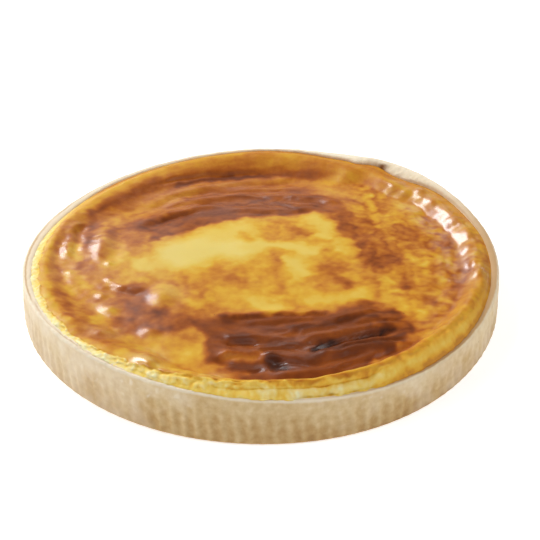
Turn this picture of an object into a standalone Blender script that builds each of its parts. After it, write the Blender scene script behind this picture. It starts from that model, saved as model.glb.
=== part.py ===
"""A large baked custard tart: a low, finely ribbed pastry case and the custard baked in it.

Metres, +Z up. The origin is the centre of the underside and -Y is the front. The tart is about 27 cm
across. Its wall is a little uneven, and the custard stands up in a puffed border round a sunken,
wrinkled skin.
"""

import math

import bmesh
import bpy
import numpy as np
from mathutils import Vector, noise

MM = 0.001

# Driving dimensions of the pastry case.
BASE_RADIUS = 135.7 * MM
RIM_RADIUS = 133.5 * MM
WALL_HEIGHT = 25.2 * MM
FLOOR_THICKNESS = 3.5 * MM
LIP_ROUNDING = 1.2 * MM
FOOT_ROUNDING = 1.8 * MM

# The rim is neither level nor a true circle. It rises and falls twice round the tart, and has
# smaller bumps: centre and width in degrees, then how far up or out in millimetres.
RIM_SADDLE = 3.6 * MM
RIM_UPS_MM = ((52, 14, 0.8), (70, 14, -1.4), (300, 25, -0.6))
RIM_OUTS_MM = ((48, 14, 1.2), (18, 14, -1.2))

# The ribs pressed into the wall, which fade out below the smooth lip.
RIB_COUNT = 132
RIB_DEPTH = 0.55 * MM
RIB_WEAR = 0.25  # share of a rib's depth that comes and goes round the tart
RIB_FULL_TO = 0.55  # share of the wall's height
RIB_GONE_AT = 0.86  # share of the wall's height

# Values that change round the tart, at eight compass points: right, right back, back, left back,
# left, left front, front, right front.
WALL_THICKNESS = [v * MM for v in (5.0, 3.8, 3.0, 4.0, 5.4, 3.8, 3.0, 3.6)]
CUSTARD_BELOW_RIM = [v * MM for v in (0.8, 4.6, 1.0, 0.9, 0.8, 0.5, 0.5, 0.6)]
BORDER_CREST = [v * MM for v in (26.3, 25.6, 26.0, 23.6, 26.4, 29.6, 31.3, 28.5)]
BORDER_CREST_INSET = [v * MM for v in (5.0, 7.5, 7.0, 8.0, 6.5, 5.0, 4.2, 7.0)]
BORDER_FOOT_INSET = [v * MM for v in (16, 21, 30, 34, 13, 28, 14, 16)]
BORDER_FOOT = [v * MM for v in (21.0, 20.6, 17.5, 18.5, 24.2, 23.4, 21.0, 21.0)]
SOFT_RISE = (0.4, 1.0, 1.0, 1.0, 0.6, 0.0, 0.0, 0.0)  # 0 rises steeply from the edge, 1 gently
MIDDLE_HEIGHT = 22.0 * MM
RELIEF_MARGIN = 2 * MM  # folds and lumps reach their full height this far inside the crest

# The dough slumped inwards at the right back, and is thick at the left back. Centre and width in
# degrees, then millimetres: how much thicker, how far its top slopes down to the inside, and how
# much lower the custard stands.
THICKER_MM = ((46, 9, 4.6), (54, 3.5, -1.6), (60, 3, 2.4), (66, 8, 2.2), (157, 17, 1.6))
SLOPES_MM = ((48, 12, 3.4),)
LOWER_MM = ((47, 10, 2.0), (20, 8, 0.6))

# Touching solids keep this gap.
GAP = 0.3 * MM

# The face where the border has risen and torn, at the front: a step, a ledge, then a second step.
TEAR_CENTRE = 265  # degrees
TEAR_WIDTH = 50  # degrees
LEDGE_START = 0.7 * MM  # inset of the ledge from the custard's edge
LEDGE_END = 1.6 * MM
TEAR_TOP = 3.6 * MM

# Lumps all over the skin, larger near the border.
LUMP_SIZE = 11 * MM
LUMP_HEIGHT = 0.5 * MM
BORDER_LUMP_HEIGHT = 1.1 * MM

# Mesh density: the custard's grid is finer from front to back, across its long folds.
SEGMENTS_ROUND = 2 * RIB_COUNT
GRID_ACROSS = 44
GRID_DEEP = 74
EDGE_CROWDING = 1.5  # 1 spaces the grid's rings evenly, more crowds them at the edge

# Folds in the skin, in millimetres: start, end, sideways bow, half-width, ridge, trough before it.
FOLDS_MM = (
    # the long wavy folds behind the middle
    ((-84, 56), (34, 100), 14, 4.5, 1.2, 0.8),
    ((-50, 82), (34, 86), 4, 4.0, 0.9, 0.7),
    ((-66, 62), (0, 77), 4, 4.2, 1.2, 1.0),
    ((-4, 79), (50, 62), 3, 4.2, 1.3, 1.0),
    ((-76, 30), (-24, 64), 9, 4.2, 1.3, 0.8),
    ((-24, 60), (40, 60), -3, 4.2, 0.8, 0.6),
    # the step where the dark front skin begins
    ((-26, -62), (40, -57), 1, 3.6, 0.9, 0.3),
    # the deep folds at the front
    ((6, -75), (70, -57), 2, 4.0, 0.9, 0.6),
    ((16, -84), (74, -65), 3, 4.4, 1.6, 1.7),
    ((-22, -78), (14, -80), 1, 3.6, 0.9, 1.0),
    ((-24, -92), (10, -94), -2, 3.6, 1.2, 1.4),
    ((20, -99), (72, -83), 3, 4.2, 1.2, 0.9),
    ((2, -108), (44, -100), -4, 3.6, 1.4, 0.9),
    # the skin's far edge at the left front
    ((-84, -30), (-60, -36), -3, 4.0, 0.8, 0.8),
    # ridges that follow the border at the left and the right
    ((-111, -6), (-108, 36), 2, 2.6, 1.3, 0.9),
    ((-91, -14), (-88, 34), 2, 5.0, 0.4, 0.6),
    ((114, -40), (104, 62), -9, 4.0, 0.5, 0.4),
    ((92, 66), (74, 90), -2, 4.0, 1.0, 0.7),
)

# Colour, roughness.
PASTRY_FINISH = ((0.62, 0.46, 0.27), 0.8)
CUSTARD_FINISH = ((0.70, 0.38, 0.08), 0.3)


# ---------------------------------------------------------------- values round the tart


def smooth(share):
    """Eases a share from 0 to 1."""
    share = np.clip(share, 0.0, 1.0)
    return share * share * (3.0 - 2.0 * share)


def around(angle, values):
    """The value at an angle, eased between the eight compass points."""
    values = np.asarray(values, float)
    place = np.degrees(angle) % 360.0 / 45.0
    first = np.floor(place).astype(int) % 8
    share = smooth(place - np.floor(place))
    return values[first] * (1.0 - share) + values[(first + 1) % 8] * share


def swell(angle, centre, width):
    """1 at the centre angle, falling to 0 about two widths away. Both are in degrees."""
    off = (np.degrees(angle) - centre + 180.0) % 360.0 - 180.0
    return np.exp(-((off / width) ** 2))


def bumps(angle, rows):
    return sum(size * MM * swell(angle, centre, width) for centre, width, size in rows)


def rim_radius(angle):
    uneven = 0.003 * np.sin(3 * angle) + 0.002 * np.cos(3 * angle) + 0.0035 * np.sin(4 * angle)
    return RIM_RADIUS * (1.0 + uneven) + bumps(angle, RIM_OUTS_MM)


def base_radius(angle):
    corners = 0.003 * np.sin(3 * angle) * np.sin(2 * angle) ** 2 + 0.002 * np.sin(4 * angle)
    return BASE_RADIUS * (1.0 + corners - 0.005 * np.cos(2 * angle))


def rim_height(angle):
    return WALL_HEIGHT + RIM_SADDLE * np.sin(2 * angle) + bumps(angle, RIM_UPS_MM)


def wall_radius(angle, height):
    """The wall's outer face without its ribs: straight from the base to the rim."""
    share = height / rim_height(angle)
    return base_radius(angle) * (1.0 - share) + rim_radius(angle) * share


def inner_radius(angle, height):
    thickness = around(angle, WALL_THICKNESS) + bumps(angle, THICKER_MM)
    return wall_radius(angle, height) - thickness


def ribs(angle, height):
    """How far the ribs stand out of the wall."""
    share = height / rim_height(angle)
    fade = 1.0 - smooth((share - RIB_FULL_TO) / (RIB_GONE_AT - RIB_FULL_TO))
    worn = 1.0 - RIB_WEAR * (1.0 - np.sin(5 * angle) * np.sin(11 * angle))
    return RIB_DEPTH * worn * fade * np.cos(RIB_COUNT * angle)


# ---------------------------------------------------------------- the custard's surface


def fold(x, y, start, end, bow, half_width, ridge, trough):
    """A ridge and the trough on its right-hand side, along a bowed line that dies out at its ends."""
    (x0, y0), (x1, y1) = start, end
    length = math.hypot(x1 - x0, y1 - y0)
    along = ((x - x0) * (x1 - x0) + (y - y0) * (y1 - y0)) / length**2
    across = ((y - y0) * (x1 - x0) - (x - x0) * (y1 - y0)) / length
    off = (across - 4.0 * bow * along * (1.0 - along)) / half_width
    ends = smooth(along / 0.2) * smooth((1.0 - along) / 0.2)
    return ends * (ridge * np.exp(-(off**2)) - trough * np.exp(-((off + 1.5) ** 2)))


def torn_rise(inset):
    """The torn face's share of its rise: two steps with a ledge between them."""
    lower = smooth(inset / LEDGE_START)
    upper = smooth((inset - LEDGE_END) / (TEAR_TOP - LEDGE_END))
    return (lower + upper) / 2.0


def lumps(x, y):
    """Low lumps and hollows, between about -1 and 1."""
    place = Vector((x / LUMP_SIZE, y / LUMP_SIZE, 0.0))
    return noise.noise(place) + 0.5 * noise.noise(place * 2.1)


def custard_edge(angle):
    """The radius and height of the custard's edge, just below the rim."""
    drop = around(angle, CUSTARD_BELOW_RIM) + bumps(angle, LOWER_MM)
    height = rim_height(angle) - drop
    return inner_radius(angle, height) - GAP, height


def custard_height(x, y):
    """The custard's top: a steep outer face, a crest, a slope down, then the sunken skin."""
    angle = np.arctan2(y, x)
    radius = np.hypot(x, y)
    edge, edge_height = custard_edge(angle)
    inset = edge - radius
    crest = around(angle, BORDER_CREST)
    crest_inset = around(angle, BORDER_CREST_INSET)
    foot = around(angle, BORDER_FOOT)
    foot_inset = around(angle, BORDER_FOOT_INSET)

    tear = swell(angle, TEAR_CENTRE, TEAR_WIDTH)
    soft = around(angle, SOFT_RISE)
    share = np.clip(inset / crest_inset, 0.0, 1.0)
    round_rise = (1.0 - soft) * np.sqrt(1.0 - (1.0 - share) ** 2) + soft * smooth(share)
    rise = (1.0 - tear) * round_rise + tear * torn_rise(inset)
    outer_face = edge_height + (crest - edge_height) * rise
    slope = crest + (foot - crest) * smooth((inset - crest_inset) / (foot_inset - crest_inset))
    middle = foot + (MIDDLE_HEIGHT - foot) * smooth(1.0 - radius / (edge - foot_inset))
    height = np.where(inset < crest_inset, outer_face, np.where(inset < foot_inset, slope, middle))

    folds = sum(fold(x / MM, y / MM, *row) for row in FOLDS_MM) * MM
    border = 1.0 - smooth((inset - crest_inset) / foot_inset)
    lump_height = LUMP_HEIGHT + (BORDER_LUMP_HEIGHT - LUMP_HEIGHT) * border
    relief = folds + lump_height * lumps(x, y)
    return height + relief * smooth(inset / (crest_inset + RELIEF_MARGIN))


# ---------------------------------------------------------------- modelling helpers


def clear_scene():
    for obj in list(bpy.data.objects):
        bpy.data.objects.remove(obj)


def make_material(name, finish):
    colour, roughness = finish
    material = bpy.data.materials.new(name)
    material.use_nodes = True
    shader = material.node_tree.nodes["Principled BSDF"]
    shader.inputs["Base Color"].default_value = (*colour, 1.0)
    shader.inputs["Roughness"].default_value = roughness
    shader.inputs["Metallic"].default_value = 0.0
    return material


def add_object(name, mesh, collection, material):
    mesh.materials.append(material)
    mesh.shade_smooth()
    mesh.set_sharp_from_angle(angle=math.radians(50))
    obj = bpy.data.objects.new(name, mesh)
    collection.objects.link(obj)
    return obj


def turned_mesh(profile, steps):
    """A profile of (radius, height) points, turned about Z by a Screw modifier."""
    outline = bpy.data.meshes.new("profile")
    points = [(radius, 0.0, height) for radius, height in profile]
    outline.from_pydata(points, [(i, i + 1) for i in range(len(points) - 1)], [])
    spun = bpy.data.objects.new("profile", outline)
    bpy.context.scene.collection.objects.link(spun)
    screw = spun.modifiers.new("turn", "SCREW")
    screw.steps = screw.render_steps = steps
    screw.use_merge_vertices = True
    screw.merge_threshold = 0.01 * MM
    graph = bpy.context.evaluated_depsgraph_get()
    mesh = bpy.data.meshes.new_from_object(spun.evaluated_get(graph))
    bpy.data.objects.remove(spun)
    return mesh


# ---------------------------------------------------------------- the pastry case


def case_profile():
    """Half of the case's section, from the middle of its floor over the rim to the underside."""
    outer = RIM_RADIUS
    inner = RIM_RADIUS - WALL_THICKNESS[0]
    top = WALL_HEIGHT
    lip = LIP_ROUNDING
    foot = FOOT_ROUNDING
    return (
        (0.0, FLOOR_THICKNESS),
        (inner, FLOOR_THICKNESS),
        (inner, top - lip),
        (inner + lip, top),
        (outer - lip, top),
        (outer, top - lip),
        (outer, top * RIB_GONE_AT),
        (outer, top * RIB_FULL_TO),
        (outer, foot),
        (outer - foot, 0.0),
        (0.0, 0.0),
    )


def pastry_case(collection):
    """A plain turned case, whose wall is then moved to its uneven outline and given its ribs."""
    mesh = turned_mesh(case_profile(), SEGMENTS_ROUND)
    inner = RIM_RADIUS - WALL_THICKNESS[0]
    for vertex in mesh.vertices:
        x, y, z = vertex.co
        plain_radius = math.hypot(x, y)
        if plain_radius < inner / 2:
            continue
        angle = math.atan2(y, x)
        stretch = (rim_height(angle) - FLOOR_THICKNESS) / (WALL_HEIGHT - FLOOR_THICKNESS)
        height = min(z, FLOOR_THICKNESS) + max(z - FLOOR_THICKNESS, 0.0) * stretch
        if plain_radius > (inner + RIM_RADIUS) / 2:
            face = wall_radius(angle, height)
            if height > 0.0:
                face += ribs(angle, height)
            radius = face + plain_radius - RIM_RADIUS
        else:
            radius = inner_radius(angle, height) + plain_radius - inner
            if z > WALL_HEIGHT - 1.5 * LIP_ROUNDING:
                height -= bumps(angle, SLOPES_MM)
        vertex.co = (radius * math.cos(angle), radius * math.sin(angle), height)
    return add_object("pastry_case", mesh, collection, make_material("pastry", PASTRY_FINISH))


# ---------------------------------------------------------------- the custard


def square_to_disc(u, v):
    """Moves a point of the square from -1 to 1 onto the unit disc, so that squares become circles."""
    if u == 0.0 and v == 0.0:
        return 0.0, 0.0
    ring = max(abs(u), abs(v))
    turn = v / u * math.pi / 4 if abs(u) >= abs(v) else math.pi / 2 - u / v * math.pi / 4
    share = 1.0 - (1.0 - ring) ** EDGE_CROWDING
    side = math.copysign(1.0, u if abs(u) >= abs(v) else v)
    return side * share * math.cos(turn), side * share * math.sin(turn)


def custard(collection):
    """A grid drawn out to the case's outline and raised to its height, with sides and a bottom."""
    bottom = FLOOR_THICKNESS + GAP
    shape = bmesh.new()
    bmesh.ops.create_grid(shape, x_segments=GRID_ACROSS, y_segments=GRID_DEEP, size=1.0)
    for vertex in shape.verts:
        u, v = square_to_disc(vertex.co.x, vertex.co.y)
        angle = math.atan2(v, u)
        edge = custard_edge(angle)[0]
        x, y = u * edge, v * edge
        vertex.co = (x, y, custard_height(x, y))

    border = [edge for edge in shape.edges if edge.is_boundary]
    made = bmesh.ops.extrude_edge_only(shape, edges=border)["geom"]
    for vertex in (item for item in made if isinstance(item, bmesh.types.BMVert)):
        angle = math.atan2(vertex.co.y, vertex.co.x)
        radius = inner_radius(angle, bottom) - GAP
        vertex.co = (radius * math.cos(angle), radius * math.sin(angle), bottom)
    bmesh.ops.holes_fill(shape, edges=[edge for edge in shape.edges if edge.is_boundary])
    bmesh.ops.recalc_face_normals(shape, faces=shape.faces)
    mesh = bpy.data.meshes.new("custard")
    shape.to_mesh(mesh)
    shape.free()
    return add_object("custard", mesh, collection, make_material("custard", CUSTARD_FINISH))


def main():
    clear_scene()
    tart = bpy.data.collections.new("custard_tart")
    bpy.context.scene.collection.children.link(tart)
    pastry_case(tart)
    custard(tart)


main()
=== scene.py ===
# %% [markdown]
# # A baked custard tart
#
# A round tart about 27 cm across: a pale pastry case with a finely ribbed wall, filled to the brim
# with custard. In the oven the custard rose in a border along the case, tore open at the front, and
# sank in the middle, and its skin browned in patches from yellow to nearly black.
#
# The solids come from model.glb. Each of them is plain, so this lesson dresses it in a fine mesh of
# the same form, and then paints that mesh with materials made of nodes. Lengths in the tables are in
# millimetres, because that is how a baker measures, and `MM` turns them into Blender's metres.

import math

import bpy
import numpy as np
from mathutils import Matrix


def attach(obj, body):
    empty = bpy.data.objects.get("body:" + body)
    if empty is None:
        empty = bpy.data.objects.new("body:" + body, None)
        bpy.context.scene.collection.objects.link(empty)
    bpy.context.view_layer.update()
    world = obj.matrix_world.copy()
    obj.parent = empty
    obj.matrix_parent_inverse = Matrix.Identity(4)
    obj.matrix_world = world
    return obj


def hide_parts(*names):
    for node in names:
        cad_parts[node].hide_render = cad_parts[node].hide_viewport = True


MM = 0.001

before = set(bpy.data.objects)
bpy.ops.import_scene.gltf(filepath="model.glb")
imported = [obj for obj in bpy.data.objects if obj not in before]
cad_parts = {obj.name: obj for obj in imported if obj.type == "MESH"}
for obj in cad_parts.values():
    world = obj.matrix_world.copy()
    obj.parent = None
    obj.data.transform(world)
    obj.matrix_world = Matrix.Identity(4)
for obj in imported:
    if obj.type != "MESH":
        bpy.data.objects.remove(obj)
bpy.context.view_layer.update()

# %% [markdown]
# ## The camera
#
# The tart is seen from in front and a third of the way up, as on a table. A camera has to be far
# enough away that the back of the tart isn't much smaller than its front. The lens then sets how
# large the tart is in the picture, and the shift slides the picture without turning the camera.

# %% Camera
CAMERA_DISTANCE = 0.60
CAMERA_RISE = math.radians(33.4)
CAMERA_LENS = 68.67
CAMERA_SHIFT = (0.0163, 0.0311)

camera = bpy.data.objects.new("camera", bpy.data.cameras.new("camera"))
bpy.context.scene.collection.objects.link(camera)
camera.location = (
    0.0,
    -CAMERA_DISTANCE * math.cos(CAMERA_RISE),
    CAMERA_DISTANCE * math.sin(CAMERA_RISE),
)
camera.rotation_euler = (math.pi / 2 - CAMERA_RISE, 0.0, 0.0)
camera.data.sensor_width = 36.0
camera.data.lens = CAMERA_LENS
camera.data.shift_x, camera.data.shift_y = CAMERA_SHIFT
bpy.context.scene.camera = camera
print("camera:", [round(v, 3) for v in camera.location], "lens", CAMERA_LENS)

# %% [markdown]
# ## The studio
#
# The tart stands on a white floor under soft light. The floor is so bright that it reads as white,
# with only a trace of shadow. A tart's skin is glossy, and gloss only shows what it mirrors, so the
# lamps matter as much as the material:
#
# - The window, behind on the left, draws the broken white line on the far border and a white dot on
#   each blister.
# - The rear card is broad and dim and stands where the flat skin mirrors it, so that the browned skin
#   gets a soft sheen.
# - Large lamps on the left, on the right and in front fill the wall and the folds with plain light.
#
# The window and the card are a little cool, because white light on orange custard looks pink.

# %% Colours
def srgb(red, green, blue):
    """A colour as a picture shows it, from 0 to 255, as the linear values that shaders work in."""
    shown = np.array([red, green, blue]) / 255.0
    linear = np.where(shown <= 0.04045, shown / 12.92, ((shown + 0.055) / 1.055) ** 2.4)
    return (*linear.tolist(), 1.0)


# %% Floor
FLOOR_SIZE = 8.0

bpy.ops.mesh.primitive_plane_add(size=FLOOR_SIZE)
floor = bpy.context.object
floor.name = "floor"

floor_material = bpy.data.materials.new("white_floor")
floor_material.use_nodes = True
floor_shader = floor_material.node_tree.nodes["Principled BSDF"]
floor_shader.inputs["Base Color"].default_value = (0.86, 0.86, 0.86, 1.0)
floor_shader.inputs["Roughness"].default_value = 0.9
floor_shader.inputs["Emission Color"].default_value = (1.0, 1.0, 1.0, 1.0)
floor_shader.inputs["Emission Strength"].default_value = 0.5
floor.data.materials.append(floor_material)

# %% Sky light
world = bpy.data.worlds.new("studio")
bpy.context.scene.world = world
world.use_nodes = True
world.node_tree.nodes["Background"].inputs["Color"].default_value = (1.0, 1.0, 1.0, 1.0)
world.node_tree.nodes["Background"].inputs["Strength"].default_value = 0.12
bpy.context.scene.view_settings.view_transform = "Standard"


# %% Lamps
def add_lamp(name, turn, rise, distance, width, height, power, colour=(1.0, 1.0, 1.0)):
    """A rectangular lamp that faces the tart. Turn is counted from the back, to the right."""
    lamp = bpy.data.objects.new(name, bpy.data.lights.new(name, "AREA"))
    bpy.context.scene.collection.objects.link(lamp)
    lamp.data.shape = "RECTANGLE"
    lamp.data.size = width
    lamp.data.size_y = height
    lamp.data.energy = power
    lamp.data.color = colour
    turn, rise = math.radians(turn), math.radians(rise)
    level = distance * math.cos(rise)
    lamp.location = (level * math.sin(turn), level * math.cos(turn), distance * math.sin(rise))
    lamp.rotation_euler = (math.pi / 2 - rise, 0.0, math.pi - turn)
    print("lamp:", name, power, "W,", width, "by", height, "m")


COOL = (0.9, 0.96, 1.0)

add_lamp("window", turn=-36, rise=36, distance=1.6, width=0.5, height=1.1, power=22, colour=COOL)
add_lamp("left_box", turn=-100, rise=42, distance=1.5, width=1.0, height=0.8, power=9)
add_lamp("right_box", turn=100, rise=42, distance=1.5, width=0.8, height=0.8, power=8)
add_lamp("front_fill", turn=180, rise=60, distance=2.0, width=1.5, height=1.0, power=5)
add_lamp("rear_card", turn=0, rise=26, distance=1.8, width=1.1, height=1.0, power=2.3, colour=COOL)

# %% [markdown]
# ## Uneven by design
#
# Nothing baked is exact, and a few small tools give every piece its unevenness. Blender's own
# displacement could do some of this, but here the same rule often shapes the mesh and paints it, so
# plain functions that work on whole arrays of points are easier to share.
#
# `ease` turns a hard switch into a smooth one. `noise` makes smooth random hills of a chosen size, the
# same ones on every run because its random draw is seeded. `around` carries eight values, one for
# each compass point, smoothly round the tart, and `swell` is a single rise at one angle.


# %% Smooth random hills
def ease(share):
    """Goes from 0 to 1 without a corner at either end."""
    share = np.clip(share, 0.0, 1.0)
    return share * share * (3.0 - 2.0 * share)


HILL_GRID = 64


def noise(x, y, size, seed):
    """Smooth noise between about -1 and 1. Its hills are about one size apart."""
    leanings = np.random.default_rng(seed).uniform(0.0, 2.0 * np.pi, (HILL_GRID, HILL_GRID))
    u, v = x / size, y / size
    column, row = np.floor(u).astype(int), np.floor(v).astype(int)
    u, v = u - column, v - row

    def corner(right, up):
        lean = leanings[(column + right) % HILL_GRID, (row + up) % HILL_GRID]
        return np.cos(lean) * (u - right) + np.sin(lean) * (v - up)

    across = ease(u)
    low = corner(0, 0) * (1.0 - across) + corner(1, 0) * across
    high = corner(0, 1) * (1.0 - across) + corner(1, 1) * across
    return 1.5 * (low + (high - low) * ease(v))


# %% Values round the tart
def around(angle, values):
    """Eases between eight values: right, right back, back, left back, left, and on to the front."""
    values = np.asarray(values, float)
    place = np.degrees(angle) % 360.0 / 45.0
    first = np.floor(place).astype(int) % 8
    share = ease(place - np.floor(place))
    return values[first] * (1.0 - share) + values[(first + 1) % 8] * share


def swell(angle, centre, width):
    """1 at the centre angle and 0 about two widths away, both in degrees."""
    off = (np.degrees(angle) - centre + 180.0) % 360.0 - 180.0
    return np.exp(-((off / width) ** 2))


print("around, each 90 degrees:", around(np.radians([0, 90, 180, 270]), range(8)))

# %% [markdown]
# ## The outline
#
# These are the same sizes and rules that shaped the solids, so the fine meshes lie exactly where the
# solids lie. The wall leans in a little towards the rim. The rim rises and falls twice on its way
# round, because soft dough sags between the places where it is pressed against the ring. At the right
# back it slumped inwards, so that its top is a wide shelf that slopes down to the custard.

# %% Outline of the case
BASE_RADIUS = 135.7 * MM
RIM_RADIUS = 133.5 * MM
WALL_HEIGHT = 25.2 * MM
RIM_SADDLE = 3.6 * MM
FLOOR_THICKNESS = 3.5 * MM
GAP = 0.3 * MM
WALL_THICKNESS = [v * MM for v in (5.0, 3.8, 3.0, 4.0, 5.4, 3.8, 3.0, 3.6)]

# The dough slumped inwards at the right back, and is thick at the left back. Centre and width in
# degrees, then millimetres: how much thicker, and how far its top slopes down to the inside.
THICKER_MM = ((46, 9, 4.6), (54, 3.5, -1.6), (60, 3, 2.4), (66, 8, 2.2), (157, 17, 1.6))
SLOPES_MM = ((48, 12, 3.4),)


def bumps(angle, rows):
    return sum(size * MM * swell(angle, centre, width) for centre, width, size in rows)


def rim_radius(angle):
    uneven = 0.003 * np.sin(3 * angle) + 0.002 * np.cos(3 * angle) + 0.0035 * np.sin(4 * angle)
    bulge = 1.2 * MM * (swell(angle, 48, 14) - swell(angle, 18, 14))
    return RIM_RADIUS * (1.0 + uneven) + bulge


def base_radius(angle):
    corners = 0.003 * np.sin(3 * angle) * np.sin(2 * angle) ** 2 + 0.002 * np.sin(4 * angle)
    return BASE_RADIUS * (1.0 + corners - 0.005 * np.cos(2 * angle))


def rim_height(angle):
    ups = 0.8 * swell(angle, 52, 14) - 1.4 * swell(angle, 70, 14) - 0.6 * swell(angle, 300, 25)
    return WALL_HEIGHT + RIM_SADDLE * np.sin(2 * angle) + ups * MM


def wall_radius(angle, height):
    share = height / rim_height(angle)
    return base_radius(angle) * (1.0 - share) + rim_radius(angle) * share


def wall_thickness(angle):
    return around(angle, WALL_THICKNESS) + bumps(angle, THICKER_MM)


def inner_radius(angle, height):
    return wall_radius(angle, height) - wall_thickness(angle)


whole_turn = np.radians(np.arange(360.0))
rim_heights = rim_height(whole_turn) / MM
print("rim: from", rim_heights.min().round(1), "to", rim_heights.max().round(1), "mm high")

# %% [markdown]
# ## The pastry case
#
# The wall of the real case carries the print of a pleated ring: 132 soft ribs, deepest at the foot
# and gone just below the smooth lip. They lean a little at the left front, where the dough slipped.
# A cosine raised to a power makes a rounded rib between two flatter valleys, and a little noise added
# to its angle keeps the ribs from being all as wide.

# %% Ribs
RIB_COUNT = 132
RIB_DEPTH = 0.5 * MM
RIB_KEPT = (0.35, 0.4, 0.6, 0.6, 0.3, 0.45, 0.7, 0.5)
RIB_FADES_FROM, RIB_GONE_AT = 0.4, 0.95  # shares of the wall's height
RIB_LEAN = (0.0, 0.0, 0.0, 0.4, 1.2, 2.0, 0.5, -0.6)  # degrees, from the rim to the foot


def rib_wave(angle, share):
    """From -1 in a valley to 1 on a rib. Share is the height up the wall."""
    leaned = angle - np.radians(around(angle, RIB_LEAN)) * (1.0 - share)
    arc = leaned * RIM_RADIUS / MM
    wander = 1.3 * noise(arc, share * 25.0, 22.0, 21) + 0.8 * noise(arc, share * 25.0, 8.0, 22)
    rounded = 0.5 + 0.5 * np.cos(RIB_COUNT * leaned + wander)
    return 2.0 * rounded**1.5 - 1.0


def rib_strength(angle, share):
    arc = angle * RIM_RADIUS / MM
    kept = around(angle, RIB_KEPT)
    fade = 1.0 - ease((share - RIB_FADES_FROM) / (RIB_GONE_AT - RIB_FADES_FROM))
    return kept * fade * (0.8 + 0.6 * noise(arc, share * 25.0, 14.0, 23))


print("ribs:", RIB_COUNT, "and", round(2 * math.pi * BASE_RADIUS / RIB_COUNT / MM, 1), "mm apart")


# %% [markdown]
# ## The section of the case
#
# A lathe, or Blender's Screw modifier, would turn a perfect case. This one is a grid of points
# instead, where each row is a place on the section (foot, wall, lip, inside) and each column an
# angle. That way every point can be pushed on its own, by the ribs and by noise.

# %% Rows from the foot to the inside
CASE_COLUMNS = RIB_COUNT * 10
FOOT_ROUNDING = 1.8 * MM
LIP_HEIGHT = 1.5 * MM
INSIDE_DROPS_MM = (2.0, 2.7, 3.5, 4.4, 5.4, 6.6, 8.0, 12.0)

columns = (np.arange(CASE_COLUMNS) + 0.5) / CASE_COLUMNS * 2.0 * np.pi
lip_top = rim_height(columns) + 0.25 * MM * noise(columns * RIM_RADIUS / MM, 0 * columns, 9.0, 31)
thickness = wall_thickness(columns)
slope = bumps(columns, SLOPES_MM)
rows = []

for turn in np.linspace(0.0, math.pi / 2, 5):  # the rounded foot
    height = FOOT_ROUNDING * (1.0 - math.cos(turn)) + 0.0 * columns
    rows.append((wall_radius(columns, height) - FOOT_ROUNDING * (1.0 - math.sin(turn)), height))
for share in np.linspace(0.08, 0.93, 34):  # the wall
    height = share * lip_top
    rows.append((wall_radius(columns, height), height))
for turn in np.linspace(0.12, math.pi - 0.12, 13):  # the lip, over to its inside
    across = np.sign(math.cos(turn)) * abs(math.cos(turn)) ** 0.7
    height = lip_top - LIP_HEIGHT * (1.0 - math.sin(turn)) - slope * ((1.0 - across) / 2.0) ** 1.2
    rows.append((wall_radius(columns, height) - thickness * (1.0 - across) / 2.0, height))
for drop in INSIDE_DROPS_MM:  # the inside of the wall
    height = lip_top - drop * MM - slope
    rows.append((inner_radius(columns, height), height))
rows.append((inner_radius(columns, FLOOR_THICKNESS), FLOOR_THICKNESS + 0.0 * columns))

radius = np.array([row[0] for row in rows])
height = np.array([row[1] for row in rows])
angle = np.broadcast_to(columns, radius.shape)
print("section:", len(rows), "rows of", CASE_COLUMNS, "points")

# %% [markdown]
# ## What dough does
#
# Five things push the points of the plain section. The ribs and a soft grain move the wall in and
# out. Crumbs roughen the lip. Beside the custard a thin seam is sunk in the lip, where the two baked
# apart, and the slumped shelf at the right back is gritty. Each is limited to its own place by
# `share`, how far up the wall a point lies, and `depth`, how far in from the wall's outer face.

# %% Ribs, grain, crumbs, seam and grit
SEAM_DEPTH_MM, SEAM_WIDTH_MM = 1.7, 0.35
SEAM_KEPT = (0.2, 0.0, 0.0, 0.4, 1.0, 0.7, 0.0, 0.3)

arc = angle * RIM_RADIUS / MM
share = height / lip_top
depth = (wall_radius(angle, height) - radius) / MM
outer = ease(thickness / MM / 2 - depth)
above_foot = ease(height / (2.0 * MM))

seam_place = depth - SEAM_DEPTH_MM - 0.4 * noise(arc, 0 * arc, 17.0, 38)
seam = np.exp(-((seam_place / SEAM_WIDTH_MM) ** 2))
seam = seam * ease((share - 0.9) / 0.06) * around(angle, SEAM_KEPT)

wave = rib_wave(angle, share)
strength = rib_strength(angle, share) * outer * above_foot
grain = 0.12 * noise(arc, height / MM, 2.2, 32) + 0.18 * noise(arc, height / MM, 6.0, 33)
radius = radius + RIB_DEPTH * strength * wave + grain * MM * above_foot
crumbs = (0.1 + 0.25 * swell(angle, 225, 35)) * noise(arc, radius / MM, 2.4, 34)
height = height + crumbs * MM * ease((share - 0.9) / 0.08)
shelf = np.clip(slope / (2.0 * MM), 0.0, 1.0)
shelf = shelf * ease((share - 0.6) / 0.1) * ease((depth - 1.0) / 2.0)
gritty = noise(arc, depth, 3.4, 40) + 0.7 * noise(arc, depth, 1.7, 50)
height = height + (0.4 * shelf * gritty - 0.35 * seam) * MM
print("ribs stand out", round(float((RIB_DEPTH * strength).max() / MM), 2), "mm at most")

# %% [markdown]
# ## The case as one mesh
#
# Neighbouring rows are joined by quads, and two large faces close the grid: the flat underside and the
# flat floor inside. Both the torn edge of the custard and this case use `strip_faces`.

# %% Case mesh
def strip_faces(rows, columns, first=0):
    """Quads between the rows of a grid of points that runs right round."""
    column = np.arange(columns)
    following = (column + 1) % columns
    faces = []
    for row in range(rows - 1):
        low, high = first + row * columns, first + (row + 1) * columns
        faces.append(np.stack([low + column, low + following, high + following, high + column], 1))
    return np.concatenate(faces)


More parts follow.
